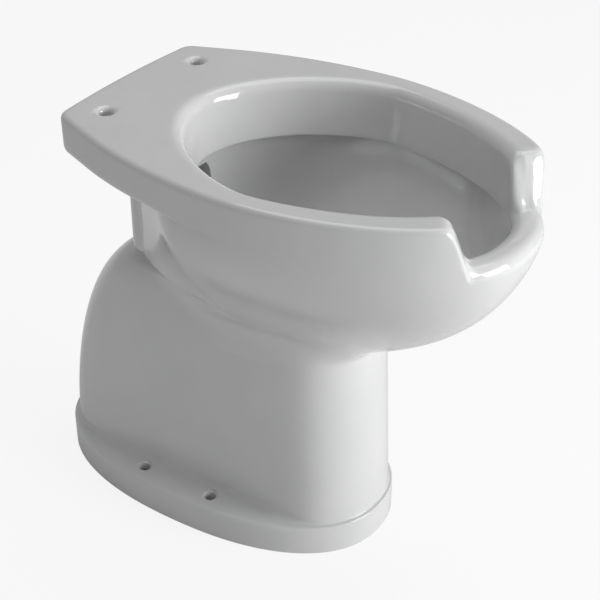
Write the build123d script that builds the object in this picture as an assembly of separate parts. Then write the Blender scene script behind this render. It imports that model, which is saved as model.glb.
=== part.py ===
from build123d import *
import math
import os

# Accessible toilet pan with an open front, in millimetres.
# X runs across the pan, Y from the front (minus) to the back (plus), Z up from the floor.
# The origin is on the floor, under the middle of the whole pan.

# Rim and deck
rim_height = 482.5              # floor to the top of the rim
rim_half_width = 168.0          # at the widest place
rim_widest_y = -22.0            # where the rim is widest
rim_front_reach = 245.5         # from there to the nose that the dip cuts away
rim_nose_fullness = 2.4         # how broad the nose is, 2 is an ellipse
rim_side_fullness = 1.65        # and how full the sides are in front of the widest place
rim_side_radius = 540.0         # curve of the sides behind the widest place
side_straight_y = 180.0         # the sides run straight behind this
flank_split = 0.05              # each curved side is in two lengths, the first this share of it
deck_back_y = 226.0             # back corners of the deck
deck_back_bulge = 7.5           # the back edge is a shallow arc
deck_corner_radius = 14.0
slab_thickness = 44.0           # height of the deck's edge
slab_draft = 4.0                # how far its sides draw in below, down to nothing at the back
slab_front_draft = 3.0          # and the nose, less than that
rim_joint_drop = 85.0           # the rim casting is stuck to the bowl this far below the rim's top
deck_wall = 14.0
deck_pocket_inset = 14.0        # solid edge round the hollow under the deck
top_rounding = 6.0              # of the outer edge
mouth_rounding = 10.0           # of the edge round the opening
underside_rounding = 9.0

# Opening and hanging skirt
rim_side_breadth = 32.0         # top of the rim, from outside to opening, at the sides
rim_front_breadth = 37.0        # and towards the nose
opening_widest_y = -30.0
opening_back_y = 125.0
opening_nose_fullness = 2.29    # how broad its front end is, 2 is an ellipse
opening_side_fullness = 1.5
opening_tail_fullness = 1.85    # and its back end
opening_flank_fullness = 1.66
skirt_length = 64.0             # from the rim's top down to the skirt's lower edge
skirt_thickness = 7.0
skirt_side_draft = 3.5
skirt_back_draft = 8.0
channel_roof_thickness = 17.0   # above the flush channel inside the rim
channel_front_y = -165.0        # the channel stops before the dip
channel_front_wall = 3.0        # extra wall towards the front end of the channel

# Dip at the front
dip_depth = 51.5
dip_apex_y = -160.0             # its two slopes fan out from this place
dip_floor_spread = 0.9          # half width over distance from the apex, on the floor
dip_top_spread = 1.45           # and at the top
dip_floor_curve = 0.2           # radius at the foot of a slope over the same distance
dip_top_curve = 0.4             # and at its top
dip_near = 40.0                 # where the cut begins, from the apex
dip_far = 120.0                 # and where it ends, outside the nose
dip_overcut = 0.002             # the slopes' upper curves end this far above the rim

# Seat fixing holes
seat_hole_spacing = 155.0
seat_hole_y = 190.8
seat_hole_diameter = 15.0
seat_hole_flare = 5.0
seat_boss_diameter = 34.0
seat_boss_thickness = 20.0

# Bowl
bowl_wall = 9.0
bowl_depth = 197.0              # from the slab's underside to the throat
bowl_back_y = 150.0
throat_front_y = 0.0
throat_back_y = 50.0
throat_half_width = 60.0
belly_fullness = 1.9            # of the front profile
belly_back_fullness = 1.8
belly_side_power = 1.8          # of the side profile, and how fast it turns in
belly_side_turn = 1.4
bowl_widest_shift = 55.0        # the widest place moves back towards the throat
sump_bottom_z = 56.0
sump_floor = 10.0
sump_front_y = -42.0
sump_back_y = 38.0
sump_half_width = 48.0
sump_rounding = 12.0
well_taper = 4.0                # the well is this much wider all round at the throat
lip_thickening = 17.0           # extra wall inside the nose, under the dip
lip_thickening_height = 57.0    # it grows over this height, up to the skirt's lower edge

# Pedestal and foot
foot_height = 38.0
foot_half_width = 121.6
foot_widest_y = 104.4
foot_front_reach = 214.2
foot_back_reach = 214.2
foot_fullness = 2.27
foot_rounding = 4.0
pedestal_inset = 4.5            # the wall stands this far inside the foot
pedestal_draft = 10.0           # how far the front and sides draw in up to the shoulder
pedestal_back_fullness = 2.15
pedestal_flat_half_width = 85.3 # flat sides
pedestal_flat_crispness = 8.0   # how tightly the flats turn into the round ends
pedestal_wall = 12.0
shoulder_z = 301.0              # top of the shoulder, under the neck
shoulder_back_y = 191.0
shoulder_half_width = 66.0
shoulder_fullness = 1.86
foot_ledge_thickness = 14.0

# Floor fixing holes
floor_hole_diameter = 13.0
floor_hole_x = 97.0
floor_hole_middle_y = 108.8
floor_hole_spacing_y = 96.0
floor_boss_diameter = 26.0

# Neck and flush inlet
neck_half_width = 62.0
neck_back_y = 195.0
neck_corner_radius = 28.0
neck_wall = 12.0
inlet_drop = 97.0               # from the rim's top down to the middle of the inlet
inlet_diameter = 55.0
inlet_depth = 20.0
inlet_boss_diameter = 76.0
inlet_boss_length = 12.0        # how far it stands out behind the neck
inlet_throat_diameter = 44.0
duct_half_width = 44.0          # the passage from the neck into the rim
duct_wall = 20.0
duct_roof_thickness = 19.0

# Trap
trap_bore = 78.0
trap_wall = 9.0
trap_bend_radius = 50.0
trap_start_y = 45.0
trap_rise_y = 81.0
trap_crest_y = 130.0
trap_fall_y = 215.0
trap_seal = 50.0                # depth of water that closes the trap
trap_end_z = 12.0
trap_joint_gap = 0.3
outlet_collar_height = 50.0     # thicker end of the trap, where the drain's socket fits over it
outlet_collar_wall = 3.0
bridge_gap = 4.0                # from the collar up to the web that holds the trap
bridge_thickness = 12.0
bridge_length = 116.0

# Flush spreader
spreader_thickness = 3.0
spreader_half_width = 36.0
spreader_drop = 18.0
spreader_wing = 20.0
spreader_clearance = 0.3

# Worked out from the sizes above
slab_bottom_z = rim_height - slab_thickness
rim_joint_z = rim_height - rim_joint_drop
skirt_bottom_z = rim_height - skirt_length
channel_roof_z = rim_height - channel_roof_thickness
duct_roof_z = rim_height - duct_roof_thickness
dip_floor_z = rim_height - dip_depth
dip_top_z = rim_height + dip_overcut
lip_thickening_z = skirt_bottom_z - lip_thickening_height
opening_half_width = rim_half_width - rim_side_breadth
rim_nose_y = rim_widest_y - rim_front_reach
opening_front_y = rim_nose_y + rim_front_breadth
throat_z = slab_bottom_z - bowl_depth
inlet_z = rim_height - inlet_drop
inlet_face_y = neck_back_y + inlet_boss_length
trap_low_z = sump_bottom_z + sump_floor + trap_bore / 2
trap_crest_z = trap_low_z + trap_bore + trap_seal
trap_outside = trap_bore + 2 * trap_wall
trap_joint_y = trap_fall_y - trap_bend_radius - trap_joint_gap
collar_top_z = trap_end_z + outlet_collar_height
bridge_z = collar_top_z + bridge_gap
floor_hole_ys = [floor_hole_middle_y - floor_hole_spacing_y / 2,
                 floor_hole_middle_y + floor_hole_spacing_y / 2]
seat_hole_xs = [-seat_hole_spacing / 2, seat_hole_spacing / 2]
rim_front_fullness = (rim_nose_fullness, rim_side_fullness)


def share(value, low, high):
    """How far value lies between low and high, from 0 to 1."""
    return min(max((value - low) / (high - low), 0.0), 1.0)


def quarter(half_width, reach, end_fullness, side_fullness, steps=8):
    """Points of a quarter of a superellipse, from its side to its end, as (across, along)."""
    points = []
    for i in range(steps + 1):
        turn = math.pi / 2 * i / steps
        across = half_width * math.cos(turn) ** (2 / end_fullness)
        along = reach * math.sin(turn) ** (2 / side_fullness)
        points.append((across, along))
    return points


def quarter_spline(z, half_width, widest_y, reach, side, fullness=(2.0, 2.0), flat=None):
    """A quarter of an egg from its widest place to its end; a minus reach runs to the front."""
    crisp = pedestal_flat_crispness
    points = []
    for across, along in quarter(half_width, reach, *fullness):
        if flat is not None:
            across *= (1 + (across / flat) ** crisp) ** (-1 / crisp)
        points.append((side * across, widest_y + along, z))
    return Spline(points, tangents=[(0, math.copysign(1, reach), 0), (-side, 0, 0)])


def egg(z, half_width, widest_y, front_y, back_y, front_full=(2.0, 2.0), back_full=(2.0, 2.0), flat=None):
    """A closed egg-shaped face, level at height z. flat is the half width of its flat sides."""
    edges = []
    for side in (1, -1):
        edges.append(quarter_spline(z, half_width, widest_y, front_y - widest_y, side, front_full, flat))
        edges.append(quarter_spline(z, half_width, widest_y, back_y - widest_y, side, back_full, flat))
    return Face(Wire(edges))


def rim_outline(z, inset, front_inset, back_inset):
    """The rim and deck from above: half an ellipse, curved sides, straight sides, a back arc."""
    width = rim_half_width - inset
    reach = rim_front_reach - front_inset
    turn = math.asin((side_straight_y - rim_widest_y) / rim_side_radius)
    start_x = rim_half_width - rim_side_radius * (1 - math.cos(turn)) - back_inset * math.cos(turn)
    start_y = side_straight_y - back_inset * math.sin(turn)
    back_y = deck_back_y - back_inset
    back_x = start_x - (back_y - start_y) * math.tan(turn)
    edges = []
    for side in (1, -1):
        edges.append(quarter_spline(z, width, rim_widest_y, -reach, side, rim_front_fullness))
        flank = Spline([(side * width, rim_widest_y, z), (side * start_x, start_y, z)],
                       tangents=[(0, 1, 0), (-side * math.sin(turn), math.cos(turn), 0)])
        edges.append(flank.trim(0.0, flank_split))
        edges.append(flank.trim(flank_split, 1.0))
        edges.append(Line((side * start_x, start_y, z), (side * back_x, back_y, z)))
    edges.append(ThreePointArc((-back_x, back_y, z), (0, back_y + deck_back_bulge, z), (back_x, back_y, z)))
    face = Face(Wire(edges))
    corners = [v for v in face.vertices() if v.Y > back_y - 1]
    return fillet(corners, deck_corner_radius - back_inset / 2)


def block(x_size, y_low, y_high, z_low, z_high, x_middle=0.0):
    """A box from its width and its limits along Y and Z."""
    middle = Vector(x_middle, (y_low + y_high) / 2, (z_low + z_high) / 2)
    return Pos(middle) * Box(x_size, y_high - y_low, z_high - z_low)


def tube_along_y(y_low, y_high, z, diameter):
    return Pos(0, (y_low + y_high) / 2, z) * Rot(90, 0, 0) * Cylinder(diameter / 2, y_high - y_low)


def upright(x, y, z_low, z_high, diameter):
    return Pos(x, y, (z_low + z_high) / 2) * Cylinder(diameter / 2, z_high - z_low)


def belly(z, wall=0.0):
    """The bowl's level section at height z, or its inside when a wall is given."""
    t = share(slab_bottom_z - z, 0.0, bowl_depth - wall)
    nose_y = rim_nose_y + slab_front_draft + wall
    front_share = (1 - t ** belly_fullness) ** (1 / belly_fullness)
    front = throat_front_y + wall + (nose_y - throat_front_y - wall) * front_share
    if wall > 0:
        front += lip_thickening * share(z, lip_thickening_z, skirt_bottom_z) ** 2
    side_share = (1 - t ** belly_side_power) ** belly_side_turn
    width = throat_half_width - wall + (rim_half_width - slab_draft - throat_half_width) * side_share
    back_share = (1 - t ** belly_back_fullness) ** (1 / belly_back_fullness)
    back = throat_back_y - wall + (bowl_back_y - throat_back_y) * back_share
    middle = min(rim_widest_y + bowl_widest_shift * t, back - 20)
    nose_full = rim_nose_fullness + (2.0 - rim_nose_fullness) * t
    side_full = rim_side_fullness + (2.0 - rim_side_fullness) * t
    back_full = 2.0 + 0.5 * t
    return egg(z, width, middle, front, back, (nose_full, side_full), (back_full, back_full))


def sump(z, wall=0.0, rounding=0.0):
    """The level section of the well below the bowl's throat; rounding draws it in at the bottom."""
    inset = wall + rounding - well_taper * share(z, trap_low_z, throat_z)
    front = sump_front_y + inset
    back = sump_back_y - inset
    return egg(z, sump_half_width - inset, (front + back) / 2, front, back, (2.0, 2.0), (2.3, 2.3))


def sump_sections(top_z, bottom_z, wall=0.0):
    """Sections of the well from its top down to its rounded floor."""
    sections = [sump(top_z, wall), sump((throat_z + trap_low_z) / 2, wall)]
    for turn in (0.0, 30.0, 55.0, 75.0, 90.0):
        drawn_in = sump_rounding * (1 - math.cos(math.radians(turn)))
        height = bottom_z + sump_rounding * (1 - math.sin(math.radians(turn)))
        sections.append(sump(height, wall, drawn_in))
    return sections


def bowl_levels(top, bottom):
    """Heights of the bowl's sections, closer together where it turns in to the throat."""
    depth = top - bottom
    return [top - depth * part for part in (0.0, 0.16, 0.31, 0.45, 0.58, 0.70, 0.80, 0.88, 0.94, 0.98, 1.0)]


def make_bowl_outer():
    bowl = loft([belly(z) for z in bowl_levels(rim_joint_z, throat_z)])
    well = loft(sump_sections(throat_z + 4, sump_bottom_z), ruled=True)
    return bowl + well + tube_along_y(0.0, trap_start_y, trap_low_z, trap_outside)


def make_bowl(outer):
    inside_throat_z = throat_z + bowl_wall
    hollow = loft([belly(z, bowl_wall) for z in bowl_levels(rim_joint_z, inside_throat_z)])
    floor_z = sump_bottom_z + sump_floor
    well = loft(sump_sections(inside_throat_z + 4, floor_z, bowl_wall), ruled=True)
    bore = tube_along_y(0.0, trap_start_y, trap_low_z, trap_bore)
    return outer - hollow - well - bore


def pedestal_section(z, wall=0.0):
    """The pedestal's level section: the foot's oval, drawn in at the shoulder, with flat sides."""
    t = share(z, foot_height, shoulder_z)
    inset = pedestal_inset + pedestal_draft * t
    foot_back = foot_widest_y + foot_back_reach - pedestal_inset
    back_share = (1 - t ** shoulder_fullness) ** (1 / shoulder_fullness)
    back = shoulder_back_y + (foot_back - shoulder_back_y) * back_share
    flat = shoulder_half_width + (pedestal_flat_half_width - shoulder_half_width) * (1 - t ** 4) ** 0.5
    front = foot_widest_y - foot_front_reach + inset + wall
    return egg(z, foot_half_width - inset - wall, foot_widest_y, front, back - wall,
               (foot_fullness, foot_fullness), (pedestal_back_fullness, pedestal_back_fullness),
               flat - wall)


def foot_section(z, wall=0.0):
    front = foot_widest_y - foot_front_reach + wall
    back = foot_widest_y + foot_back_reach - wall
    full = (foot_fullness, foot_fullness)
    return egg(z, foot_half_width - wall, foot_widest_y, front, back, full, full)


def pedestal_levels(bottom, top):
    """Heights of the wall's sections, closer together on the shoulder."""
    steps = 18
    return [bottom + (top - bottom) * math.sin(math.pi / 2 * i / steps) for i in range(steps + 1)]


def make_pedestal_hollow():
    """The space inside the pedestal's wall, from the top of the foot's cavity to the roof."""
    low = foot_height - foot_ledge_thickness
    collar = [pedestal_section(low, pedestal_wall), pedestal_section(foot_height, pedestal_wall)]
    levels = pedestal_levels(foot_height, shoulder_z - pedestal_wall)
    wall = loft([pedestal_section(z, pedestal_wall) for z in levels], ruled=True)
    return loft(collar, ruled=True) + wall


def make_pedestal(bowl_outer, hollow):
    foot = loft([foot_section(0.0), foot_section(foot_height)], ruled=True)
    foot = fillet(foot.edges().group_by(Axis.Z)[-1], foot_rounding)
    levels = pedestal_levels(foot_height, shoulder_z)
    body = foot + loft([pedestal_section(z) for z in levels], ruled=True)
    cavity_z = foot_height - foot_ledge_thickness
    body -= loft([foot_section(0.0, pedestal_wall), foot_section(cavity_z, pedestal_wall)], ruled=True)
    body -= hollow
    places = [(side * floor_hole_x, y) for side in (-1, 1) for y in floor_hole_ys]
    for x, y in places:
        body += upright(x, y, 0, cavity_z + foot_ledge_thickness / 2, floor_boss_diameter)
    for x, y in places:
        body -= upright(x, y, 0, foot_height, floor_hole_diameter)
    return body - bowl_outer


def opening_face(z, out=0.0):
    """The opening's level outline; the skirt draws in as it hangs down, out is its thickness."""
    fall = (rim_height - z) / skirt_length
    half_width = opening_half_width - skirt_side_draft * fall + out
    back_y = opening_back_y - skirt_back_draft * fall + out
    return egg(z, half_width, opening_widest_y, opening_front_y - out, back_y,
               (opening_nose_fullness, opening_side_fullness),
               (opening_tail_fullness, opening_flank_fullness))


def channel_face(z, extra=0.0):
    """The inside of the rim's outer wall, seen from above; extra moves it inwards."""
    half_width = rim_half_width - slab_draft - bowl_wall - extra
    front_y = rim_nose_y + slab_front_draft + bowl_wall + channel_front_wall + extra
    return egg(z, half_width, rim_widest_y, front_y, bowl_back_y - bowl_wall - extra, rim_front_fullness)


def outer_wall_face(z, extra):
    """The outside of the same wall under the deck; extra moves it outwards."""
    front_y = rim_nose_y + slab_front_draft - extra
    half_width = rim_half_width - slab_draft + extra
    return egg(z, half_width, rim_widest_y, front_y, bowl_back_y + extra, rim_front_fullness)


def dip_profile(distance):
    """The dip's upright profile at one distance in front of the apex: floor, curve, slope, curve."""
    y = dip_apex_y - distance
    floor_x = dip_floor_spread * distance
    top_x = dip_top_spread * distance
    turn = math.atan2(dip_top_z - dip_floor_z, top_x - floor_x)
    low = dip_floor_curve * distance * math.tan(turn / 2)
    high = dip_top_curve * distance * math.tan(turn / 2)
    across, up = math.cos(turn), math.sin(turn)
    high_z = rim_height + 20.0
    edges = []
    for side in (1, -1):
        floor_end = (side * (floor_x - low), y, dip_floor_z)
        slope_start = (side * (floor_x + low * across), y, dip_floor_z + low * up)
        slope_end = (side * (top_x - high * across), y, dip_top_z - high * up)
        top_start = (side * (top_x + high), y, dip_top_z)
        edges.append(Line((0, y, dip_floor_z), floor_end))
        edges.append(TangentArc([floor_end, slope_start], tangent=(side, 0, 0)))
        edges.append(Line(slope_start, slope_end))
        edges.append(TangentArc([slope_end, top_start], tangent=(side * across, 0, up)))
        edges.append(Line(top_start, (side * (top_x + high), y, high_z)))
    edges.append(Line((-top_x - high, y, high_z), (top_x + high, y, high_z)))
    return Face(Wire(edges))


def make_slab():
    """The rim's and deck's slab: drawn in below at the front, turned in underneath at the back."""
    sections = [rim_outline(rim_height, 0.0, 0.0, 0.0)]
    for turn in (0.0, 45.0, 90.0):
        z = slab_bottom_z + underside_rounding * (1 - math.sin(math.radians(turn)))
        drawn_in = underside_rounding * (1 - math.cos(math.radians(turn)))
        down = (rim_height - z) / slab_thickness
        sections.append(rim_outline(z, slab_draft * down, slab_front_draft * down, drawn_in))
    return loft(sections, ruled=True)


def top_edges(body, dip):
    """The edges round the opening and round the outside, where they lie at the rim's top."""
    faces = [face for face in body.faces() if face.center().Z > rim_height - 0.01]
    edges = [edge for face in faces for edge in face.edges() if dip.distance_to(edge @ 0.5) > 0.01]
    opening = opening_face(rim_height)
    mouth = [edge for edge in edges if opening.distance_to(edge @ 0.5) < 1.0]
    outside = [edge for edge in edges if opening.distance_to(edge @ 0.5) > 1.0]
    return mouth, outside


def make_apron():
    """The bowl's upper wall, which the rim casting brings with it."""
    return loft([belly(z) for z in (slab_bottom_z, (slab_bottom_z + rim_joint_z) / 2, rim_joint_z)])


def make_rim_deck(apron):
    body = make_slab() + apron
    body -= loft([opening_face(rim_height + 4), opening_face(rim_joint_z - 4)])
    dip = loft([dip_profile(dip_near), dip_profile(dip_far)], ruled=True)
    body -= dip
    mouth, outside = top_edges(body, dip)
    body = fillet(outside, top_rounding)
    mouth, outside = top_edges(body, dip)
    body = fillet(mouth, mouth_rounding)
    inside_levels = (skirt_bottom_z, (skirt_bottom_z + rim_joint_z) / 2, rim_joint_z)
    body -= loft([belly(z, bowl_wall) for z in inside_levels])

    channel = loft([channel_face(skirt_bottom_z), channel_face(channel_roof_z)], ruled=True)
    channel &= block(2 * rim_half_width, channel_front_y, deck_back_y, skirt_bottom_z, channel_roof_z)
    duct_back_y = neck_back_y - neck_wall
    channel += block(2 * duct_half_width, opening_widest_y, duct_back_y, slab_bottom_z, duct_roof_z)
    skirt_levels = (skirt_bottom_z - 4, rim_height + 4)
    body -= channel - loft([opening_face(z, skirt_thickness) for z in skirt_levels])

    pocket_roof_z = rim_height - deck_wall
    inset = deck_pocket_inset
    outline = rim_outline(slab_bottom_z - 1, inset, inset, inset)
    low_z = slab_bottom_z - 1
    pocket = extrude(outline, pocket_roof_z - low_z, dir=(0, 0, 1))
    pocket &= block(2 * rim_half_width, bowl_back_y + bowl_wall, deck_back_y + 20, low_z, pocket_roof_z)
    pocket -= block(2 * (duct_half_width + duct_wall), 0, duct_back_y + duct_wall, low_z, rim_height)
    for x in seat_hole_xs:
        pocket -= upright(x, seat_hole_y, rim_height - seat_boss_thickness, rim_height, seat_boss_diameter)
    body -= pocket
    for x in seat_hole_xs:
        body -= upright(x, seat_hole_y, slab_bottom_z - 1, rim_height + 1, seat_hole_diameter)
    rims = [edge for edge in body.edges().filter_by(GeomType.CIRCLE)
            if abs(edge.radius - seat_hole_diameter / 2) < 0.01 and edge.center().Z > rim_height - 0.1]
    return fillet(rims, seat_hole_flare)


def make_inlet_neck(bowl_outer, apron):
    def section(z):
        middle_y = neck_back_y / 2
        outline = RectangleRounded(2 * neck_half_width, neck_back_y, neck_corner_radius)
        return Pos(0, middle_y, z) * outline

    duct_back_y = neck_back_y - neck_wall
    body = loft([section(shoulder_z), section(slab_bottom_z)], ruled=True)
    body += tube_along_y(duct_back_y, inlet_face_y, inlet_z, inlet_boss_diameter)
    body -= block(2 * duct_half_width, 0, duct_back_y, shoulder_z + neck_wall, slab_bottom_z)
    body -= tube_along_y(inlet_face_y - inlet_depth, inlet_face_y, inlet_z, inlet_diameter)
    body -= tube_along_y(duct_back_y - 1, inlet_face_y, inlet_z, inlet_throat_diameter)
    return body - bowl_outer - apron


def make_tube(points):
    """A bent length of trap through points given as (y, z)."""
    path = FilletPolyline([(0, y, z) for y, z in points], radius=trap_bend_radius)
    start = Plane(origin=path @ 0, z_dir=path % 0)
    outside = sweep(start * Circle(trap_outside / 2), path=path)
    return outside - sweep(start * Circle(trap_bore / 2), path=path)


def make_trap_rise():
    return make_tube([(trap_start_y, trap_low_z), (trap_rise_y, trap_low_z),
                      (trap_crest_y, trap_crest_z), (trap_joint_y, trap_crest_z)])


def make_trap_fall():
    tube = make_tube([(trap_joint_y, trap_crest_z), (trap_fall_y, trap_crest_z), (trap_fall_y, trap_end_z)])
    collar = upright(0, trap_fall_y, trap_end_z, collar_top_z, trap_outside + 2 * outlet_collar_wall)
    return tube + (collar - upright(0, trap_fall_y, trap_end_z, collar_top_z, trap_bore))


def make_outlet_bridge(hollow):
    low_y = trap_fall_y - bridge_length / 2
    high_y = trap_fall_y + bridge_length / 2
    web = block(2 * pedestal_flat_half_width, low_y, high_y, bridge_z, bridge_z + bridge_thickness)
    web &= hollow
    return web - upright(0, trap_fall_y, 0, trap_crest_z, trap_outside)


def channel_block(z_low, z_high, extra):
    return loft([channel_face(z_low, extra), channel_face(z_high, extra)], ruled=True)


def wall_block(z_low, z_high, extra):
    return loft([outer_wall_face(z_low, extra), outer_wall_face(z_high, extra)], ruled=True)


def make_flush_spreader():
    low_z = slab_bottom_z - spreader_drop
    middle_z = slab_bottom_z - spreader_drop / 2
    top_z = slab_bottom_z + spreader_thickness
    gap = spreader_clearance
    skin = spreader_clearance + spreader_thickness
    saddle = wall_block(middle_z, top_z, skin) - wall_block(middle_z, slab_bottom_z, gap)
    saddle += wall_block(slab_bottom_z, top_z, gap)
    saddle += channel_block(low_z, slab_bottom_z, gap)
    saddle -= channel_block(low_z, top_z, skin)
    saddle &= block(2 * spreader_half_width, opening_widest_y, neck_back_y, low_z, top_z)
    wings = channel_block(low_z, middle_z, gap) - channel_block(low_z, middle_z, skin)
    wing_width = 2 * (spreader_half_width + spreader_wing)
    wings &= block(wing_width, opening_widest_y, neck_back_y, low_z, middle_z)
    return saddle + wings


def lowest_and_highest_y(shapes):
    points = [point for shape in shapes for point in shape.tessellate(0.1)[0]]
    return min(point.Y for point in points), max(point.Y for point in points)


def main():
    apron = make_apron()
    bowl_outer = make_bowl_outer()
    hollow = make_pedestal_hollow()
    parts = {
        "rim_deck": make_rim_deck(apron),
        "bowl": make_bowl(bowl_outer),
        "inlet_neck": make_inlet_neck(bowl_outer, apron),
        "pedestal": make_pedestal(bowl_outer, hollow),
        "trap_rise": make_trap_rise(),
        "trap_fall": make_trap_fall(),
        "outlet_bridge": make_outlet_bridge(hollow),
        "flush_spreader": make_flush_spreader(),
    }
    front_y, back_y = lowest_and_highest_y([parts["rim_deck"], parts["pedestal"]])
    to_middle = Pos(0, -(front_y + back_y) / 2, 0)
    os.makedirs("parts", exist_ok=True)
    for name, shape in parts.items():
        export_step(to_middle * shape, f"parts/{name}.step")


main()
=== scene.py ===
"""A raised toilet pan with an open front, in glazed vitreous china, around its CAD frame.

The shapes are worked out in millimetres in the pan's own plan, where x runs across and y from the
nose to the back, as polar radii about one upright axis inside the bowl. They then become metres in
the frame's place.
"""
import math
import bmesh
import bpy
import numpy as np
from mathutils import Matrix, Vector


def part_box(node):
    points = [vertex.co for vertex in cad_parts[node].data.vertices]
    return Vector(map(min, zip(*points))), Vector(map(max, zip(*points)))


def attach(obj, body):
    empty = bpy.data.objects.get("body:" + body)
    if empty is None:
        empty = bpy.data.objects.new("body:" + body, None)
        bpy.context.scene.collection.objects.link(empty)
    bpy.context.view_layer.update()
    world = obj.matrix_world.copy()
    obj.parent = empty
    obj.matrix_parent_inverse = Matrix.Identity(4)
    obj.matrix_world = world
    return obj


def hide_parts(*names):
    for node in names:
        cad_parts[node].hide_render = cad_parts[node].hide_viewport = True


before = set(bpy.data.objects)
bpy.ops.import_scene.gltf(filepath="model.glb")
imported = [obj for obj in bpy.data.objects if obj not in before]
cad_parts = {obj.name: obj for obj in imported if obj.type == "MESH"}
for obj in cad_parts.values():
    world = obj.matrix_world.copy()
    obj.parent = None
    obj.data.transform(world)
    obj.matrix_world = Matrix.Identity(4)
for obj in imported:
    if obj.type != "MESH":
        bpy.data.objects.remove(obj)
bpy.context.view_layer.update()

MM = 0.001
NEEDLE = 5e-6

# Rim and deck
RIM_Z = 482.5
RIM_HALF_WIDTH = 168.0
RIM_WIDEST_Y = -22.0
RIM_NOSE_Y = -267.5
RIM_FRONT_FULL = (2.4, 1.65)
RIM_SIDE_RADIUS = 540.0
SIDE_STRAIGHT_Y = 180.0
DECK_BACK_Y = 229.0
DECK_BULGE = 5.0
DECK_CORNER = 12.0
SLAB_BOTTOM_Z = 438.5
SLAB_DRAFT = 4.0
SEAM_Z = 397.5
SEAM_ROW = 0.3
EDGE_ROUNDING = 7.0
LIP_ROUNDING = 14.0
MOUTH_ROUNDING = 14.0
UNDER_ROUNDING = 10.0
UNDER_FILLET = 14.0

# Opening, skirt and flush channel
OPENING_HALF_WIDTH = 136.0
OPENING_WIDEST_Y = -30.0
OPENING_FRONT_Y = -230.5
OPENING_BACK_Y = 125.0
OPENING_FRONT_FULL = (2.29, 1.5)
OPENING_BACK_FULL = (1.85, 1.66)
SKIRT_Z = 418.5
SKIRT_DRAFT = 3.5
SKIRT_BACK_DRAFT = 8.0
SKIRT_THICKNESS = 7.0
CHANNEL_ROOF_Z = 465.5
CHANNEL_CLOSING = (115.0, 215.0)
SKIRT_LEAST_DROP = 13.5

# Dip
DIP_DEPTH = 51.5
DIP_APEX_Y = -160.0
DIP_FLOOR_SPREAD = 0.94
DIP_TOP_SPREAD = 1.33
DIP_FLOOR_SOFTNESS = 0.08
DIP_TOP_SOFTNESS = 0.24

# Bowl
BOWL_WALL = 9.0
BOWL_DEPTH = 197.0
BOWL_BACK_Y = 150.0
THROAT = (0.0, 50.0, 60.0)
WELL = (-42.0, 38.0, 48.0)
WELL_Y = (WELL[0] + WELL[1]) / 2
WELL_BOTTOM_Z = 56.0
WELL_FLOOR_Z = 66.0
WELL_CURVE = 14.0
TRAP_Z = 105.0
TRAP_BORE = 39.0

# Neck and inlet
NECK_HALF_WIDTH = 62.0
NECK_BACK_Y = 195.0
NECK_CORNER = 28.0
INLET_Z = 385.5
INLET_FACE_Y = 207.0

# Pedestal and foot
SHOULDER_Z = 301.0
SHOULDER_BACK_Y = 191.0
FOOT_Z = 38.0
FOOT_Y = 104.4
FOOT_REACH = 214.2
FOOT_HALF_WIDTH = 121.6
FOOT_FULL = 2.27
PEDESTAL_WALL = 12.0
HOLLOW_Z = 24.0
FOOT_BEVEL = 1.0

# Glaze fillets, and how fast each body draws in where another takes over from it
NECK_BLEND = 48.0
CREASE_BLEND = 34.0
CREASE_EVENING = 17
NECK_FADE_Z = SHOULDER_Z + 12.0
NECK_FADE = 1.5
BOWL_FADE = 6.0
SHOULDER_FADE = 8.0

# Seat and floor holes
SEAT_HOLES = [(-77.5, 190.8), (77.5, 190.8)]
FLOOR_HOLES = [(x, y) for x in (-97.0, 97.0) for y in (60.8, 156.8)]

AXIS_Y = 18.0
COLUMNS = 270
TURN = np.linspace(0.0, math.pi / 2, 241)
SHIFT_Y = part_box("pedestal")[1][1] / MM - (FOOT_Y + FOOT_REACH)


def share(value, low, high):
    """How far value lies between low and high, from 0 to 1."""
    return np.clip((value - low) / (high - low), 0.0, 1.0)


def smooth(value, low, high):
    """The same, eased at both ends with 3t^2 - 2t^3."""
    t = share(value, low, high)
    return t * t * (3 - 2 * t)


def egg_outline(half_width, widest_y, front_y, back_y, front_full, back_full, flat=None):
    """Half of an egg: superellipse quarters, x = w cos^(2/m) t and y = c + reach sin^(2/n) t.
    Where flat is given, x is pressed smoothly under that half width."""
    xs, ys = [], []
    for reach, full in ((front_y - widest_y, front_full), (back_y - widest_y, back_full)):
        across = half_width * np.abs(np.cos(TURN)) ** (2 / full[0])
        if flat is not None:
            across = across * (1 + (across / flat) ** 8) ** (-1 / 8)
        xs.append(across)
        ys.append(widest_y + reach * np.sin(TURN) ** (2 / full[1]))
    return np.concatenate([xs[0][::-1], xs[1][1:]]), np.concatenate([ys[0][::-1], ys[1][1:]])


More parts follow.
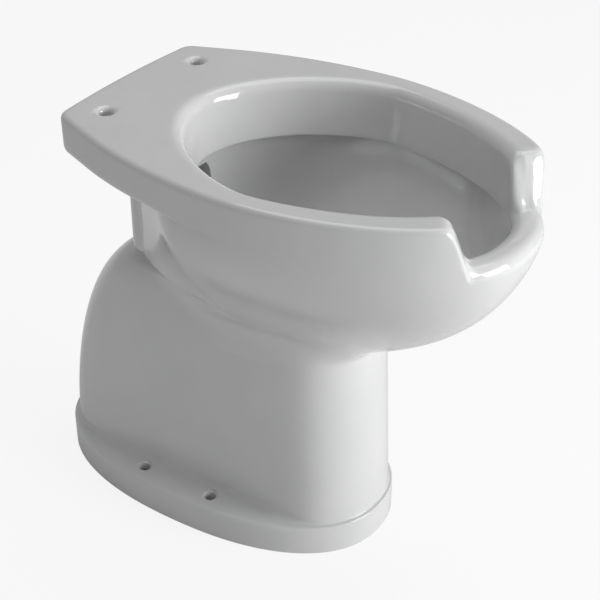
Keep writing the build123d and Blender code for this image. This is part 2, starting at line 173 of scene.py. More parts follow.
def deck_outline():
    """Half of the rim and deck: superellipse nose, arc side, straight, round corner, arc back."""
    nose_x = RIM_HALF_WIDTH * np.abs(np.cos(TURN)) ** (2 / RIM_FRONT_FULL[0])
    nose_y = RIM_WIDEST_Y + (RIM_NOSE_Y - RIM_WIDEST_Y) * np.sin(TURN) ** (2 / RIM_FRONT_FULL[1])
    swing = math.asin((SIDE_STRAIGHT_Y - RIM_WIDEST_Y) / RIM_SIDE_RADIUS)
    arc = np.linspace(0.0, swing, 90)[1:]
    side_x = RIM_HALF_WIDTH - RIM_SIDE_RADIUS * (1 - np.cos(arc))
    side_y = RIM_WIDEST_Y + RIM_SIDE_RADIUS * np.sin(arc)
    corner = np.array([side_x[-1] - (DECK_BACK_Y - side_y[-1]) * math.tan(swing), DECK_BACK_Y])
    along = np.array([-math.sin(swing), math.cos(swing)])
    before = corner - DECK_CORNER * along
    across_x = np.linspace(corner[0] - DECK_CORNER, 0.0, 120)
    back_y = DECK_BACK_Y + DECK_BULGE * (1 - (across_x / corner[0]) ** 2)
    t = np.linspace(0.0, 1.0, 40)[:, None]
    round_corner = (1 - t) ** 2 * before + 2 * t * (1 - t) * corner + t * t * [across_x[0], back_y[0]]
    straight = np.linspace([side_x[-1], side_y[-1]], before, 12)[1:-1]
    x = np.concatenate([nose_x[::-1], side_x, straight[:, 0], round_corner[:, 0], across_x[1:]])
    y = np.concatenate([nose_y[::-1], side_y, straight[:, 1], round_corner[:, 1], back_y[1:]])
    return x, y


def neck_outline():
    """Half of the neck's rounded rectangle, from y 0 to its back."""
    t = np.linspace(0.0, math.pi / 2, 60)
    r = NECK_CORNER
    front = (NECK_HALF_WIDTH - r + r * np.sin(t), r - r * np.cos(t))
    back = (NECK_HALF_WIDTH - r + r * np.cos(t), NECK_BACK_Y - r + r * np.sin(t))
    across_front = np.linspace(0, front[0][0], 20)[:-1]
    across_back = np.linspace(back[0][-1], 0, 40)[1:]
    x = np.concatenate([across_front, front[0], back[0], across_back])
    y = np.concatenate([np.zeros(19), front[1], back[1], np.full(39, NECK_BACK_Y)])
    return x, y


# The columns' angles, 0 at the nose and pi at the back, equally far apart along the rim
_x, _y = deck_outline()
_length = np.concatenate([[0.0], np.cumsum(np.hypot(np.diff(_x), np.diff(_y)))])
_even = np.linspace(0.0, _length[-1], COLUMNS + 1)
PHI = np.arctan2(np.interp(_even, _length, _x), AXIS_Y - np.interp(_even, _length, _y))
PHI[0], PHI[-1] = 0.0, math.pi


def polar(outline):
    """The outline's radius from the axis at every column."""
    x, y = outline
    return np.interp(PHI, np.arctan2(x, AXIS_Y - y), np.hypot(x, AXIS_Y - y))


def stretch(radius):
    """How much longer a radial step is than one square to the outline: sqrt(1 + (r'/r)^2)."""
    slope = np.gradient(radius, PHI) / radius
    slope[[0, -1]] = 0.0
    return np.minimum(np.sqrt(1 + slope * slope), 2.5)


def merge(a, b, width):
    """The larger of two radii, eased together over width where they are close."""
    near = np.maximum(width - np.abs(a - b), 0.0)
    return np.maximum(a, b) + near * near / (4 * width)


def belly_radius(z, wall=0.0):
    """The bowl's radius at height z, drawn in to the throat by superellipses of the depth."""
    t = float(share(SLAB_BOTTOM_Z - z, 0.0, BOWL_DEPTH - wall))
    throat_front, throat_back, throat_width = THROAT
    nose = RIM_NOSE_Y + 3.0 + wall
    front = throat_front + wall + (nose - throat_front - wall) * (1 - t ** 1.9) ** (1 / 1.9)
    width = throat_width - wall + (RIM_HALF_WIDTH - SLAB_DRAFT - throat_width) * (1 - t ** 1.8) ** 1.4
    back = throat_back - wall + (BOWL_BACK_Y - throat_back) * (1 - t ** 1.8) ** (1 / 1.8)
    middle = min(RIM_WIDEST_Y + 55.0 * t, back - 20)
    front_full = (2.4 - 0.4 * t, 1.65 + 0.35 * t)
    back_full = (2.0 + 0.5 * t, 2.0 + 0.5 * t)
    return polar(egg_outline(width, middle, front, back, front_full, back_full))


def pedestal_radius(z, wall=0.0):
    """The pedestal's radius at height z: the foot's oval, drawn in at the back and the shoulder."""
    t = float(share(z, FOOT_Z, SHOULDER_Z))
    inset = 4.5 + 10.0 * t
    back = SHOULDER_BACK_Y + (FOOT_Y + FOOT_REACH - 4.5 - SHOULDER_BACK_Y) * (1 - t ** 1.86) ** (1 / 1.86)
    flat = 66.0 + 19.3 * (1 - t ** 4) ** 0.5
    front = FOOT_Y - FOOT_REACH + inset + wall
    return polar(egg_outline(FOOT_HALF_WIDTH - inset - wall, FOOT_Y, front, back - wall,
                             (FOOT_FULL, FOOT_FULL), (2.15, 2.15), flat - wall))


def foot_radius():
    return polar(egg_outline(FOOT_HALF_WIDTH, FOOT_Y, FOOT_Y - FOOT_REACH, FOOT_Y + FOOT_REACH,
                             (FOOT_FULL, FOOT_FULL), (FOOT_FULL, FOOT_FULL)))


def opening_radius(z):
    """The skirt's inner face, drawn in as it hangs down."""
    fall = (RIM_Z - z) / (RIM_Z - SKIRT_Z)
    return polar(egg_outline(OPENING_HALF_WIDTH - SKIRT_DRAFT * fall, OPENING_WIDEST_Y, OPENING_FRONT_Y,
                             OPENING_BACK_Y - SKIRT_BACK_DRAFT * fall, OPENING_FRONT_FULL, OPENING_BACK_FULL))


def well_outline(z, wall):
    front, back, width = WELL
    inset = wall - 4.0 * float(share(z, TRAP_Z, SLAB_BOTTOM_Z - BOWL_DEPTH))
    front, back = front + inset, back - inset
    return egg_outline(width - inset, (front + back) / 2, front, back, (2, 2), (2.3, 2.3))


def dip_height(radius):
    """The rim's top at that radius: a ramp over |x| / distance from the apex, softened at both ends."""
    x = radius * np.sin(PHI)
    y = AXIS_Y - radius * np.cos(PHI)
    distance = np.maximum(DIP_APEX_Y - y, 1e-3)
    spread = np.where(y < DIP_APEX_Y, x / distance, 100.0)
    ramp = np.clip((spread - DIP_FLOOR_SPREAD) / (DIP_TOP_SPREAD - DIP_FLOOR_SPREAD), -4.0, 8.0)
    rise = (DIP_FLOOR_SOFTNESS * np.log1p(np.exp(ramp / DIP_FLOOR_SOFTNESS))
            - DIP_TOP_SOFTNESS * np.log1p(np.exp((ramp - 1) / DIP_TOP_SOFTNESS)))
    return RIM_Z - DIP_DEPTH * (1 - np.clip(rise, 0.0, 1.0))


def bend(first, corner, last, rows):
    """A rounded corner as a quadratic curve from first to last, rows points; each is (radius, height)."""
    t = np.linspace(0.0, 1.0, rows)[:, None]
    return [(1 - t) ** 2 * a + 2 * t * (1 - t) * b + t * t * c for a, b, c in zip(first, corner, last)]


def line(first, last, rows, close_first=False, close_last=False):
    """A straight run of rows points, with one extra row close to an end that meets another piece."""
    t = np.linspace(0.0, 1.0, rows)
    if close_first:
        t[1] = 0.02
    if close_last:
        t[-2] = 0.98
    return [a + t[:, None] * (b - a) for a, b in zip(first, last)]


def along_surface(radius, height, rows, close_first=False, close_last=False):
    """Rows points at even steps along the profile of each column; radius and height are tables."""
    out_r, out_z = np.empty((rows, COLUMNS + 1)), np.empty((rows, COLUMNS + 1))
    steps = np.linspace(0.0, 1.0, rows)
    if close_first:
        steps[1] = 0.1 / rows
    if close_last:
        steps[-2] = 1 - 0.1 / rows
    run = np.hypot(np.diff(radius, axis=0), np.diff(height, axis=0))
    run = np.vstack([np.zeros(COLUMNS + 1), np.cumsum(run, axis=0)])
    for c in range(COLUMNS + 1):
        at = steps * run[-1, c]
        out_r[:, c] = np.interp(at, run[:, c], radius[:, c])
        out_z[:, c] = np.interp(at, run[:, c], height[:, c])
    return [out_r, out_z]


def at_heights(height, levels, table):
    """The table's radius, one row a level, at a height for each column."""
    return np.array([np.interp(h, levels, column) for h, column in zip(height, table.T)])


def to_points(radius, height):
    """Columns of both halves, as x, y, z in metres."""
    x = radius * np.sin(PHI)
    y = AXIS_Y - radius * np.cos(PHI)
    return mirror(x, y, height)


def mirror(x, y, z):
    x, y, z = np.broadcast_arrays(x, y, z)
    x = np.hstack([x, -x[:, -2:0:-1]])
    y = np.hstack([y, y[:, -2:0:-1]])
    z = np.hstack([z, z[:, -2:0:-1]])
    return np.stack([x, y + SHIFT_Y, z], axis=-1) * MM


def ring_mesh(name, grid, looped, poles=()):
    """A mesh of rings: grid is rows x columns x 3. looped joins the last row to the first; poles close
    the first or last ring with a fan to a point."""
    rows, cols = grid.shape[:2]
    verts = grid.reshape(-1, 3)
    index = np.arange(rows * cols).reshape(rows, cols)
    below = index if looped else index[:-1]
    above = np.roll(index, -1, axis=0) if looped else index[1:]
    corners = [below, np.roll(below, -1, axis=1), np.roll(above, -1, axis=1), above]
    faces = np.stack(corners, axis=-1).reshape(-1, 4).tolist()
    verts = verts.tolist()
    for row, point in poles:
        ring = index[row].tolist()
        verts.append(point)
        faces += [(ring[i], ring[(i + 1) % cols], len(verts) - 1) for i in range(cols)]
    mesh = bpy.data.meshes.new(name)
    mesh.from_pydata(verts, [], faces)
    return new_object(name, clean(mesh))


def clean(mesh, sharp=35.0):
    """Merges doubled points, turns the faces outwards and shades all but sharp edges smoothly."""
    bm = bmesh.new()
    bm.from_mesh(mesh)
    bmesh.ops.remove_doubles(bm, verts=bm.verts, dist=2e-6)
    bmesh.ops.recalc_face_normals(bm, faces=bm.faces)
    bm.to_mesh(mesh)
    bm.free()
    mesh.shade_smooth()
    mesh.set_sharp_from_angle(angle=math.radians(sharp))
    return mesh


def new_object(name, mesh):
    obj = bpy.data.objects.new(name, mesh)
    bpy.context.scene.collection.objects.link(obj)
    return obj


def lathe(name, profile, place, turn=Matrix(), sides=72):
    """A closed turned solid: profile is (radius, height) pairs from its axis back to its axis."""
    r, h = np.array(profile, float).T
    angle = np.linspace(0.0, 2 * math.pi, sides, endpoint=False)
    inner = slice(1, -1)
    grid = np.stack([np.outer(r[inner], np.cos(angle)), np.outer(r[inner], np.sin(angle)),
                     np.repeat(h[inner, None], sides, axis=1)], axis=-1) * MM
    ends = [(0, (0.0, 0.0, h[0] * MM)), (len(r) - 3, (0.0, 0.0, h[-1] * MM))]
    obj = ring_mesh(name, grid, False, ends)
    x, y, z = place
    obj.data.transform(Matrix.Translation(((x * MM), (y + SHIFT_Y) * MM, z * MM)) @ turn)
    return obj


def drop_needles(mesh):
    """Closes up the needle-thin faces that a cut can leave along its edge."""
    bm = bmesh.new()
    bm.from_mesh(mesh)
    bmesh.ops.remove_doubles(bm, verts=bm.verts, dist=NEEDLE)
    bmesh.ops.dissolve_degenerate(bm, dist=NEEDLE, edges=bm.edges)
    bmesh.ops.triangulate(bm, faces=[f for f in bm.faces if len(f.verts) > 4])
    bmesh.ops.dissolve_degenerate(bm, dist=NEEDLE, edges=bm.edges)
    bm.to_mesh(mesh)
    bm.free()


def cut(target, cutters):
    """Cuts solids out of a piece, for good, and drops them."""
    for cutter in cutters:
        step = target.modifiers.new("cut", "BOOLEAN")
        step.operation, step.solver, step.object = "DIFFERENCE", "EXACT", cutter
    bpy.context.view_layer.update()
    mesh = bpy.data.meshes.new_from_object(target.evaluated_get(bpy.context.evaluated_depsgraph_get()))
    target.modifiers.clear()
    target.data = mesh
    for cutter in cutters:
        bpy.data.objects.remove(cutter)
    drop_needles(mesh)
    mesh.shade_smooth()
    mesh.set_sharp_from_angle(angle=math.radians(35))


# Outlines and body radii
OUTER = polar(deck_outline())
OUTER_STRETCH = stretch(OUTER)
OPENING = opening_radius(RIM_Z)
OPENING_STRETCH = stretch(OPENING)
NECK = polar(neck_outline())
FOOT = foot_radius()


def body_tables():
    """Heights from the slab down to the foot's ledge, and the radii of bowl, pedestal and both in one."""
    heights = np.arange(SLAB_BOTTOM_Z, FOOT_Z - 0.25, -0.5)
    throat_z = SLAB_BOTTOM_Z - BOWL_DEPTH
    upper, lower = [], []
    for z in heights:
        bowl = belly_radius(max(z, throat_z)) - BOWL_FADE * max(throat_z - z, 0.0)
        neck = NECK - NECK_FADE * max(NECK_FADE_Z - z, 0.0)
        upper.append(merge(bowl, neck, NECK_BLEND))
        lower.append(pedestal_radius(min(z, SHOULDER_Z)) - SHOULDER_FADE * max(z - SHOULDER_Z, 0.0))
    upper, lower = np.array(upper), np.array(lower)
    return heights, upper, lower, merge(upper, lower, CREASE_BLEND)


def evened(values, count):
    """Values averaged over count neighbouring columns, mirrored at both ends."""
    half = count // 2
    padded = np.concatenate([values[half:0:-1], values, values[-2:-half - 2:-1]])
    return np.convolve(padded, np.ones(count) / count, "valid")


HEIGHTS, UPPER, LOWER, BODY = body_tables()
CREASE_Z = evened(HEIGHTS[np.argmax(LOWER >= UPPER, axis=0)], CREASE_EVENING)


def body_at(height):
    """The outer body's radius at one height, or at a height for each column."""
    height = np.broadcast_to(height, PHI.shape)
    at = (SLAB_BOTTOM_Z - height) / 0.5
    low = np.clip(np.floor(at).astype(int), 0, len(HEIGHTS) - 2)
    t = at - low
    columns = np.arange(COLUMNS + 1)
    return BODY[low, columns] * (1 - t) + BODY[low + 1, columns] * t


# How far the flush channel is closed: 0 at the sides and back, 1 in the nose
MOUTH_Y = AXIS_Y - OPENING * np.cos(PHI)
CLOSED = smooth(-MOUTH_Y, *CHANNEL_CLOSING)
MOUTH_Z = dip_height(OPENING)
SKIRT_LOW = np.minimum(SKIRT_Z, MOUTH_Z - SKIRT_LEAST_DROP)


def inner_wall(z):
    """The bowl's inside radius at height z; in the nose it is filled out flush with the skirt."""
    own = belly_radius(min(z, SLAB_BOTTOM_Z), BOWL_WALL)
    fill = (INNER_AT_SKIRT - SKIRT_FACE) * CLOSED * smooth(z, SKIRT_Z - 75.0, SKIRT_Z)
    return own - fill


INNER_AT_SKIRT = belly_radius(SKIRT_Z, BOWL_WALL)
SKIRT_FACE = opening_radius(SKIRT_Z)


def make_rim():
    """The rim and deck: in every column one closed profile, up outside, over the top and down inside."""
    mouth_z, outer_z = MOUTH_Z, dip_height(OUTER)
    rounding = EDGE_ROUNDING + (LIP_ROUNDING - EDGE_ROUNDING) * (RIM_Z - outer_z) / DIP_DEPTH
    top_start = outer_z - rounding
    under_z = np.minimum(SLAB_BOTTOM_Z, top_start)
    draft = np.interp(PHI, [0.0, 0.5, 1.6, 2.4, math.pi], [3.0, 4.0, 3.5, 0.5, 0.0])
    slab = OUTER - draft * OUTER_STRETCH
    fall = share(RIM_Z - top_start, 0.0, RIM_Z - SLAB_BOTTOM_Z)
    edge_r = np.where(top_start < SLAB_BOTTOM_Z, body_at(under_z), OUTER + (slab - OUTER) * fall)
    ledge = np.maximum(slab - body_at(under_z), 0.0)
    ledge = np.where(PHI < 0.9, 0.0, ledge * smooth(PHI, 0.9, 1.5))
    fillet = np.minimum(UNDER_FILLET, 0.5 * ledge)
    lower = np.minimum(UNDER_ROUNDING, 0.5 * ledge)

    wall_z = SEAM_Z + np.linspace(0.0, 1.0, 18)[:, None] * (under_z - fillet - SEAM_Z)
    wall_z[1] = SEAM_Z + SEAM_ROW
    wall_r = np.array([body_at(z) for z in wall_z])
    corner_r = body_at(under_z)
    tip_r = np.where(under_z < SLAB_BOTTOM_Z, corner_r, np.where(ledge > 0, slab, corner_r))
    top_r = edge_r - rounding * OUTER_STRETCH
    inner_start = OPENING + MOUTH_ROUNDING * OPENING_STRETCH
    top = np.linspace(0.0, 1.0, 16)[:, None]
    top_radii = top_r + top * (inner_start - top_r)
    drop = np.minimum(MOUTH_ROUNDING, mouth_z - SKIRT_LOW - 1.0)
    face_r = opening_radius(SKIRT_Z)
    fall = (RIM_Z - (mouth_z - drop)) / (RIM_Z - SKIRT_Z)
    upper_face = OPENING + (face_r - OPENING) * fall
    thick = SKIRT_THICKNESS * OPENING_STRETCH * (1 - CLOSED)
    back_r = face_r + thick
    roof_z = SKIRT_LOW + (np.minimum(CHANNEL_ROOF_Z, mouth_z - 16.0) - SKIRT_LOW) * (1 - CLOSED)
    edge = np.minimum(2.5, 0.45 * thick)
    roof_r = np.maximum(belly_radius(SLAB_BOTTOM_Z, BOWL_WALL), back_r)
    roof_r = back_r + (roof_r - back_r) * (1 - CLOSED)
    down_z = SKIRT_LOW + np.linspace(0.0, 1.0, 12)[:, None] * (SEAM_Z - SKIRT_LOW)
    down_z[-2] = SEAM_Z + SEAM_ROW
    rows = [
        [wall_r, wall_z],
        bend((wall_r[-1], wall_z[-1]), (corner_r, under_z), (corner_r + fillet, under_z), 7),
        line((corner_r + fillet, under_z), (tip_r - lower, under_z), 5),
        bend((tip_r - lower, under_z), (tip_r, under_z), (tip_r, under_z + lower), 8),
        line((tip_r, under_z + lower), (edge_r, top_start), 8),
        bend((edge_r, top_start), (edge_r, outer_z), (top_r, dip_height(top_r)), 12),
        [top_radii, np.array([dip_height(r) for r in top_radii])],
        bend((inner_start, dip_height(inner_start)), (OPENING, mouth_z), (upper_face, mouth_z - drop), 12),
        line((upper_face, mouth_z - drop), (face_r, SKIRT_LOW + edge), 8),
        bend((face_r, SKIRT_LOW + edge), (face_r, SKIRT_LOW), (face_r + edge, SKIRT_LOW), 5),
        bend((back_r - edge, SKIRT_LOW), (back_r, SKIRT_LOW), (back_r, SKIRT_LOW + edge), 5),
        line((back_r, SKIRT_LOW + edge), (back_r, roof_z), 5),
        line((back_r, roof_z), (roof_r, roof_z), 4),
        [np.array([inner_wall_at(z) for z in down_z]), down_z],
    ]
    radius = np.vstack([r for r, _ in rows])
    height = np.vstack([np.broadcast_to(z, r.shape) for r, z in rows])
    rim = ring_mesh("rim_casting", to_points(radius, height), True)
    profile = [(0, -70), (7.5, -70), (7.5, -6), (8.2, -3.2), (10.2, -1.0), (13.5, 0.02), (13.5, 5), (0, 5)]
    cut(rim, [lathe("seat_hole", profile, (x, y, RIM_Z)) for x, y in SEAT_HOLES])
    return rim


def inner_wall_at(height):
    """inner_wall for a height in each column."""
    return at_heights(height, INNER_LEVELS, INNER_TABLE)


INNER_LEVELS = np.linspace(SEAM_Z - 1, SLAB_BOTTOM_Z, 40)
INNER_TABLE = np.array([inner_wall(z) for z in INNER_LEVELS])


def make_bowl():
    """The bowl: outside from the seam to the crease, hidden walls below, inside down to the well."""
    keep = HEIGHTS <= SEAM_Z
    z_table = np.repeat(HEIGHTS[keep][:, None], COLUMNS + 1, axis=1)
    z_table = np.maximum(z_table, CREASE_Z)
    r_table = np.array([body_at(z) for z in z_table])
    outside = along_surface(r_table, z_table, 72, True, True)
    throat_z = SLAB_BOTTOM_Z - BOWL_DEPTH
    hidden_r = [belly_radius(throat_z)]
    hidden_z = [np.full(COLUMNS + 1, throat_z)]
    for z in (200.0, 120.0, 64.0):
        hidden_r.append(polar(well_outline(z, 0.0)))
        hidden_z.append(np.full(COLUMNS + 1, z))
    below = [np.vstack(hidden_r), np.vstack(hidden_z)]
    levels = np.concatenate([np.linspace(SEAM_Z, 270.0, 60), np.linspace(268.0, throat_z + BOWL_WALL, 30)])
    inner_r = np.array([inner_wall(z) for z in levels])
    inside = along_surface(inner_r, np.repeat(levels[:, None], COLUMNS + 1, axis=1), 84, True)
    order_r = np.vstack([below[0][::-1], outside[0][::-1], inside[0]])
    order_z = np.vstack([below[1][::-1], outside[1][::-1], inside[1]])
    grid = to_points(order_r, order_z)
    well = []
    for z in np.linspace(throat_z + 4.0, WELL_FLOOR_Z + WELL_CURVE, 14):
        r = polar(well_outline(z, BOWL_WALL))
        well.append((r * np.sin(PHI), AXIS_Y - r * np.cos(PHI), np.full(COLUMNS + 1, z)))
    x, y, _ = well[-1]
    for turn in np.radians(np.linspace(12.0, 88.0, 7)):
        size = 1 - 0.4 * (1 - math.cos(turn))
        floor_z = WELL_FLOOR_Z + WELL_CURVE * (1 - math.sin(turn))
        well.append((x * size, WELL_Y + (y - WELL_Y) * size, np.full(COLUMNS + 1, floor_z)))
    grid = np.concatenate([grid, mirror(*[np.array(part) for part in zip(*well)])])
    centre = (0.0, (WELL_Y + SHIFT_Y) * MM)
    poles = [(0, (*centre, WELL_BOTTOM_Z * MM)), (len(grid) - 1, (*centre, WELL_FLOOR_Z * MM))]
    bowl = ring_mesh("bowl_casting", grid, False, poles)
    along_y = Matrix.Rotation(math.radians(-90), 4, "X")
    bore = lathe("inlet_bore", [(0, -75), (22, -75), (22, -20), (27.5, -20), (27.5, 4), (0, 4)],
                 (0, INLET_FACE_Y, INLET_Z), along_y)
    trap = lathe("trap_bore", [(0, 0), (TRAP_BORE, 0), (TRAP_BORE, 60), (0, 60)], (0, 0, TRAP_Z), along_y)
    cut(bowl, [bore, trap])
    return bowl


def make_pedestal():
    """The pedestal: its outside from the crease down over the ledge to the floor, and its hollow inside."""
    width = FOOT - body_at(FOOT_Z)
    k = stretch(FOOT)
    inner_fillet = np.minimum(11.0, 0.5 * width / k)
    outer_round = np.minimum(6.0, 0.42 * width / k)
    low_z = FOOT_Z + inner_fillet
    ledge = np.full_like(low_z, FOOT_Z)
    ground = np.zeros_like(low_z)
    z_table = CREASE_Z - np.linspace(0.0, 1.0, 500)[:, None] * (CREASE_Z - low_z)
    r_table = np.array([body_at(z) for z in z_table])
    outside = along_surface(r_table, z_table, 88, True)
    base_r = body_at(FOOT_Z)
    inner_r = base_r + inner_fillet * k
    wall = PEDESTAL_WALL * k
    roof_z = np.minimum(SHOULDER_Z, CREASE_Z) - 14.0
    rise = HOLLOW_Z + np.linspace(0.0, 1.0, 16)[:, None] * (roof_z - HOLLOW_Z)
    table_z = np.linspace(20.0, SHOULDER_Z, 60)
    table_r = np.array([pedestal_radius(z, PEDESTAL_WALL) for z in table_z])
    rise_r = np.array([at_heights(row, table_z, table_r) for row in rise])
    rows = [
        outside,
        bend((outside[0][-1], low_z), (base_r, ledge), (inner_r, ledge), 9),
        line((inner_r, ledge), (FOOT - outer_round * k, ledge), 7),
        bend((FOOT - outer_round * k, ledge), (FOOT, ledge), (FOOT, ledge - outer_round), 9),
        line((FOOT, ledge - outer_round), (FOOT, ground + FOOT_BEVEL), 6),
        line((FOOT, ground + FOOT_BEVEL), (FOOT - FOOT_BEVEL, ground), 2),
        line((FOOT - wall, ground), (FOOT - wall, ground + HOLLOW_Z), 3),
        [rise_r, rise],
    ]
    radius = np.vstack([r for r, _ in rows])
    height = np.vstack([np.broadcast_to(z, r.shape) for r, z in rows])
    pedestal = ring_mesh("pedestal_casting", to_points(radius, height), True)
    profile = [(0, -20), (6.5, -20), (6.5, -2.5), (7.2, -0.9), (9.0, 0.02), (9.0, 5), (0, 5)]
    cut(pedestal, [lathe("floor_hole", profile, (x, y, FOOT_Z)) for x, y in FLOOR_HOLES])
    return pedestal


def make_inlet_collar():
    """The boss round the flush inlet, a ring with rounded edges that stands out behind the neck."""
    profile = np.array([(27.5, -2.0), (27.5, 10.0), (28.1, 11.4), (29.5, 12.0), (34.5, 12.0), (36.8, 11.2),
                        (38.0, 9.0), (38.0, 4.5), (38.7, 1.6), (40.6, 0.4), (43.0, -0.4), (43.0, -2.0)])
    angle = np.linspace(0.0, 2 * math.pi, 96, endpoint=False)
    r, h = profile.T
    out = np.repeat(h[:, None], len(angle), axis=1)
    grid = np.stack([np.outer(r, np.cos(angle)), out, np.outer(r, np.sin(angle))], axis=-1)
    grid = (grid + [0.0, NECK_BACK_Y + SHIFT_Y, INLET_Z]) * MM
    return ring_mesh("inlet_collar", grid, True)


# Materials
class Value:
    """A shader socket that adds its Math nodes when it is used in an expression."""

    def __init__(self, maker, socket):
        self.maker, self.socket = maker, socket

    def _math(self, operation, *values):
        return self.maker.node("ShaderNodeMath", {"operation": operation}, dict(enumerate(values)))

    def __add__(self, other):
        return self._math("ADD", self, other)

    def __radd__(self, other):
        return self._math("ADD", other, self)

    def __sub__(self, other):
        return self._math("SUBTRACT", self, other)

    def __rsub__(self, other):
        return self._math("SUBTRACT", other, self)

    def __mul__(self, other):
        return self._math("MULTIPLY", self, other)

    def __rmul__(self, other):
        return self._math("MULTIPLY", other, self)

    def between(self, low, high):
        """0 up to low, 1 from high, eased."""
        return self.maker.node("ShaderNodeMapRange", {"interpolation_type": "SMOOTHSTEP"},
                               {"Value": self, "From Min": low, "From Max": high})


class Material:
    """A node material that is built by calls of node()."""

    def __init__(self, name):
        self.material = bpy.data.materials.new(name)
        self.material.use_nodes = True
        self.tree = self.material.node_tree
        self.tree.nodes.clear()
        self.output = self.tree.nodes.new("ShaderNodeOutputMaterial")

    def node(self, kind, settings=None, inputs=None, output=0):
        """A node of that kind; settings are its own properties, inputs its sockets' values or links."""
        made = self.tree.nodes.new(kind)
        for key, value in (settings or {}).items():
            setattr(made, key, value)
        for key, value in (inputs or {}).items():
            if isinstance(value, Value):
                self.tree.links.new(value.socket, made.inputs[key])
            else:
                made.inputs[key].default_value = value
        return Value(self, made.outputs[output])

    def noise(self, scale, detail=2.0, roughness=0.5):
        place = self.node("ShaderNodeTexCoord", output="Object")
        return self.node("ShaderNodeTexNoise", None,
                         {"Vector": place, "Scale": scale, "Detail": detail, "Roughness": roughness})

    def blend(self, factor, first, second):
        mixed = self.tree.nodes.new("ShaderNodeMix")
        mixed.data_type = "RGBA"
        for key, value in ((0, factor), (6, first), (7, second)):
            if isinstance(value, Value):
                self.tree.links.new(value.socket, mixed.inputs[key])
            else:
                mixed.inputs[key].default_value = value
        return Value(self, mixed.outputs[2])

    def surface(self, shader):
        self.tree.links.new(shader.socket, self.output.inputs["Surface"])
        return self.material


def glazed_china(name, light, dark, gloss, waviness):
    """Vitreous china under a clear glaze: slow tone changes, fine specks, and a faintly rippled surface."""
    m = Material(name)
    slow = m.noise(7.0, 3.0, 0.55)
    speck = m.noise(900.0, 1.0, 0.5).between(0.70, 0.80)
    tone = m.blend(slow.between(0.3, 0.7), dark, light)
    colour = m.blend(speck * 0.16, tone, (dark[0] * 0.72, dark[1] * 0.72, dark[2] * 0.70, 1.0))
    ripple = m.noise(26.0, 2.0, 0.4)
    grain = m.noise(420.0, 2.0, 0.5)
    rough = m.noise(60.0, 3.0, 0.6) * 0.05 + gloss
    height = ripple + grain * 0.02
    bump = m.node("ShaderNodeBump", None, {"Strength": 1.0, "Distance": waviness, "Height": height})
    shader = m.node("ShaderNodeBsdfPrincipled", None,
                    {"Base Color": colour, "Roughness": rough, "Normal": bump, "IOR": 1.52,
                     "Coat Weight": 0.35, "Coat Roughness": 0.03, "Coat IOR": 1.5})
    return m.surface(shader)


def moulded_plastic(name, colour):
    """Matt moulded plastic with a fine even grain."""
    m = Material(name)
    grain = m.noise(700.0, 3.0, 0.6)
    tone = m.blend(m.noise(20.0).between(0.35, 0.65), colour, tuple(c * 0.94 for c in colour[:3]) + (1.0,))
    bump = m.node("ShaderNodeBump", None, {"Strength": 0.6, "Distance": 0.0002, "Height": grain})
    shader = m.node("ShaderNodeBsdfPrincipled", None,
                    {"Base Color": tone, "Roughness": m.noise(120.0) * 0.12 + 0.38,
                     "Normal": bump, "IOR": 1.49})
    return m.surface(shader)


CHINA = glazed_china("glazed_china", (0.66, 0.665, 0.66, 1), (0.63, 0.635, 0.635, 1), 0.07, 0.0006)
BISCUIT = glazed_china("thinly_glazed_china", (0.60, 0.59, 0.56, 1), (0.54, 0.53, 0.50, 1), 0.30, 0.0008)
PLASTIC = moulded_plastic("white_plastic", (0.70, 0.70, 0.69, 1))


def finish_piece(obj, material, nodes=()):
    obj.data.materials.clear()
    obj.data.materials.append(material)
    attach(obj, "root")
    if nodes:
        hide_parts(*nodes)


finish_piece(make_rim(), CHINA, ["rim_deck"])
finish_piece(make_bowl(), CHINA, ["bowl"])
finish_piece(make_pedestal(), CHINA, ["pedestal"])
finish_piece(make_inlet_collar(), CHINA, ["inlet_neck"])

for node, material in (("trap_rise", BISCUIT), ("trap_fall", BISCUIT), ("outlet_bridge", BISCUIT),
                       ("flush_spreader", PLASTIC)):
    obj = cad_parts[node]
    if not obj.material_slots:
        obj.data.materials.append(material)
    for place in obj.material_slots:
        place.material = material


# Stage, light and camera
FLOOR_WHITENESS = 0.86
FLOOR_HALF = 6.0
SOFT_LIGHT = 0.33


def make_stage():
    """A pale floor that shows white to the camera and keeps the pan's shadow."""
    m = Material("pale_floor")
    path = m.tree.nodes.new("ShaderNodeLightPath")
    camera = Value(m, path.outputs["Is Camera Ray"])
    matt = m.node("ShaderNodeBsdfDiffuse", None, {"Color": (0.8, 0.8, 0.8, 1)})
    white = m.node("ShaderNodeEmission", None, {"Color": (1, 1, 1, 1), "Strength": 1.0})
    mixed = m.node("ShaderNodeMixShader", None, {0: camera * FLOOR_WHITENESS, 1: matt, 2: white})
    material = m.surface(mixed)
    mesh = bpy.data.meshes.new("floor")
    s = FLOOR_HALF
    mesh.from_pydata([(-s, -s, 0), (s, -s, 0), (s, s, 0), (-s, s, 0)], [], [(0, 1, 2, 3)])
    mesh.materials.append(material)
    floor = new_object("floor", mesh)


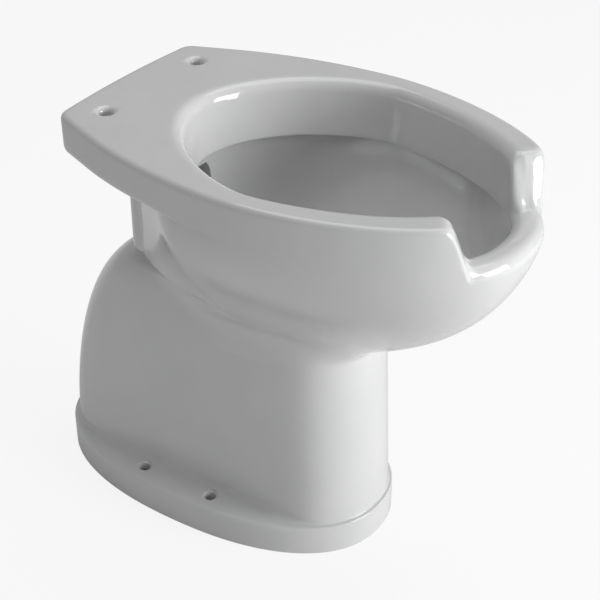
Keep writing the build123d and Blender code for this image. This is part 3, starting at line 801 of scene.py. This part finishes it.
def make_world():
    """Soft light all round, and white where the camera sees past the floor."""
    world = bpy.data.worlds.new("studio")
    bpy.context.scene.world = world
    world.use_nodes = True
    nodes, links = world.node_tree.nodes, world.node_tree.links
    nodes.clear()
    output = nodes.new("ShaderNodeOutputWorld")
    path = nodes.new("ShaderNodeLightPath")
    soft = nodes.new("ShaderNodeBackground")
    soft.inputs["Color"].default_value = (1, 1, 1, 1)
    soft.inputs["Strength"].default_value = SOFT_LIGHT
    white = nodes.new("ShaderNodeBackground")
    white.inputs["Color"].default_value = (1, 1, 1, 1)
    white.inputs["Strength"].default_value = 1.0
    mix = nodes.new("ShaderNodeMixShader")
    links.new(path.outputs["Is Camera Ray"], mix.inputs[0])
    links.new(soft.outputs[0], mix.inputs[1])
    links.new(white.outputs[0], mix.inputs[2])
    links.new(mix.outputs[0], output.inputs["Surface"])


def soft_box(name, place, aim, size, power):
    lamp = bpy.data.lights.new(name, "AREA")
    lamp.shape = "RECTANGLE"
    lamp.size, lamp.size_y = size
    lamp.energy = power
    obj = new_object(name, lamp)
    obj.location = place
    obj.rotation_euler = (Vector(aim) - Vector(place)).to_track_quat("-Z", "Y").to_euler()


def make_camera():
    """The photograph's viewing angle: 34 degrees down, from the front left of the pan."""
    data = bpy.data.cameras.new("camera")
    data.sensor_width = 36.0
    data.lens = 86.165
    data.shift_x = -0.000612
    data.shift_y = 0.04448
    data.clip_end = 50.0
    obj = new_object("camera", data)
    right = Vector((0.5551559, -0.8317461, 0.0005325))
    up = Vector((0.4637815, 0.3100861, 0.8299117))
    back = Vector((-0.6904409, -0.4604834, 0.5578946))
    place = Matrix((right, up, back)).transposed().to_4x4()
    place.translation = Vector((-1.094977, (-730.285 + SHIFT_Y) * MM, 1.126034))
    obj.matrix_world = place
    bpy.context.scene.camera = obj


make_stage()
make_world()
soft_box("front_light", (0.5, -2.9, 1.0), (0, 0, 0.25), (1.5, 1.5), 78.0)
soft_box("top_light", (0.6, 0.2, 3.0), (0, 0, 0.3), (2.2, 2.2), 24.0)
make_camera()
bpy.context.scene.view_settings.view_transform = "Standard"
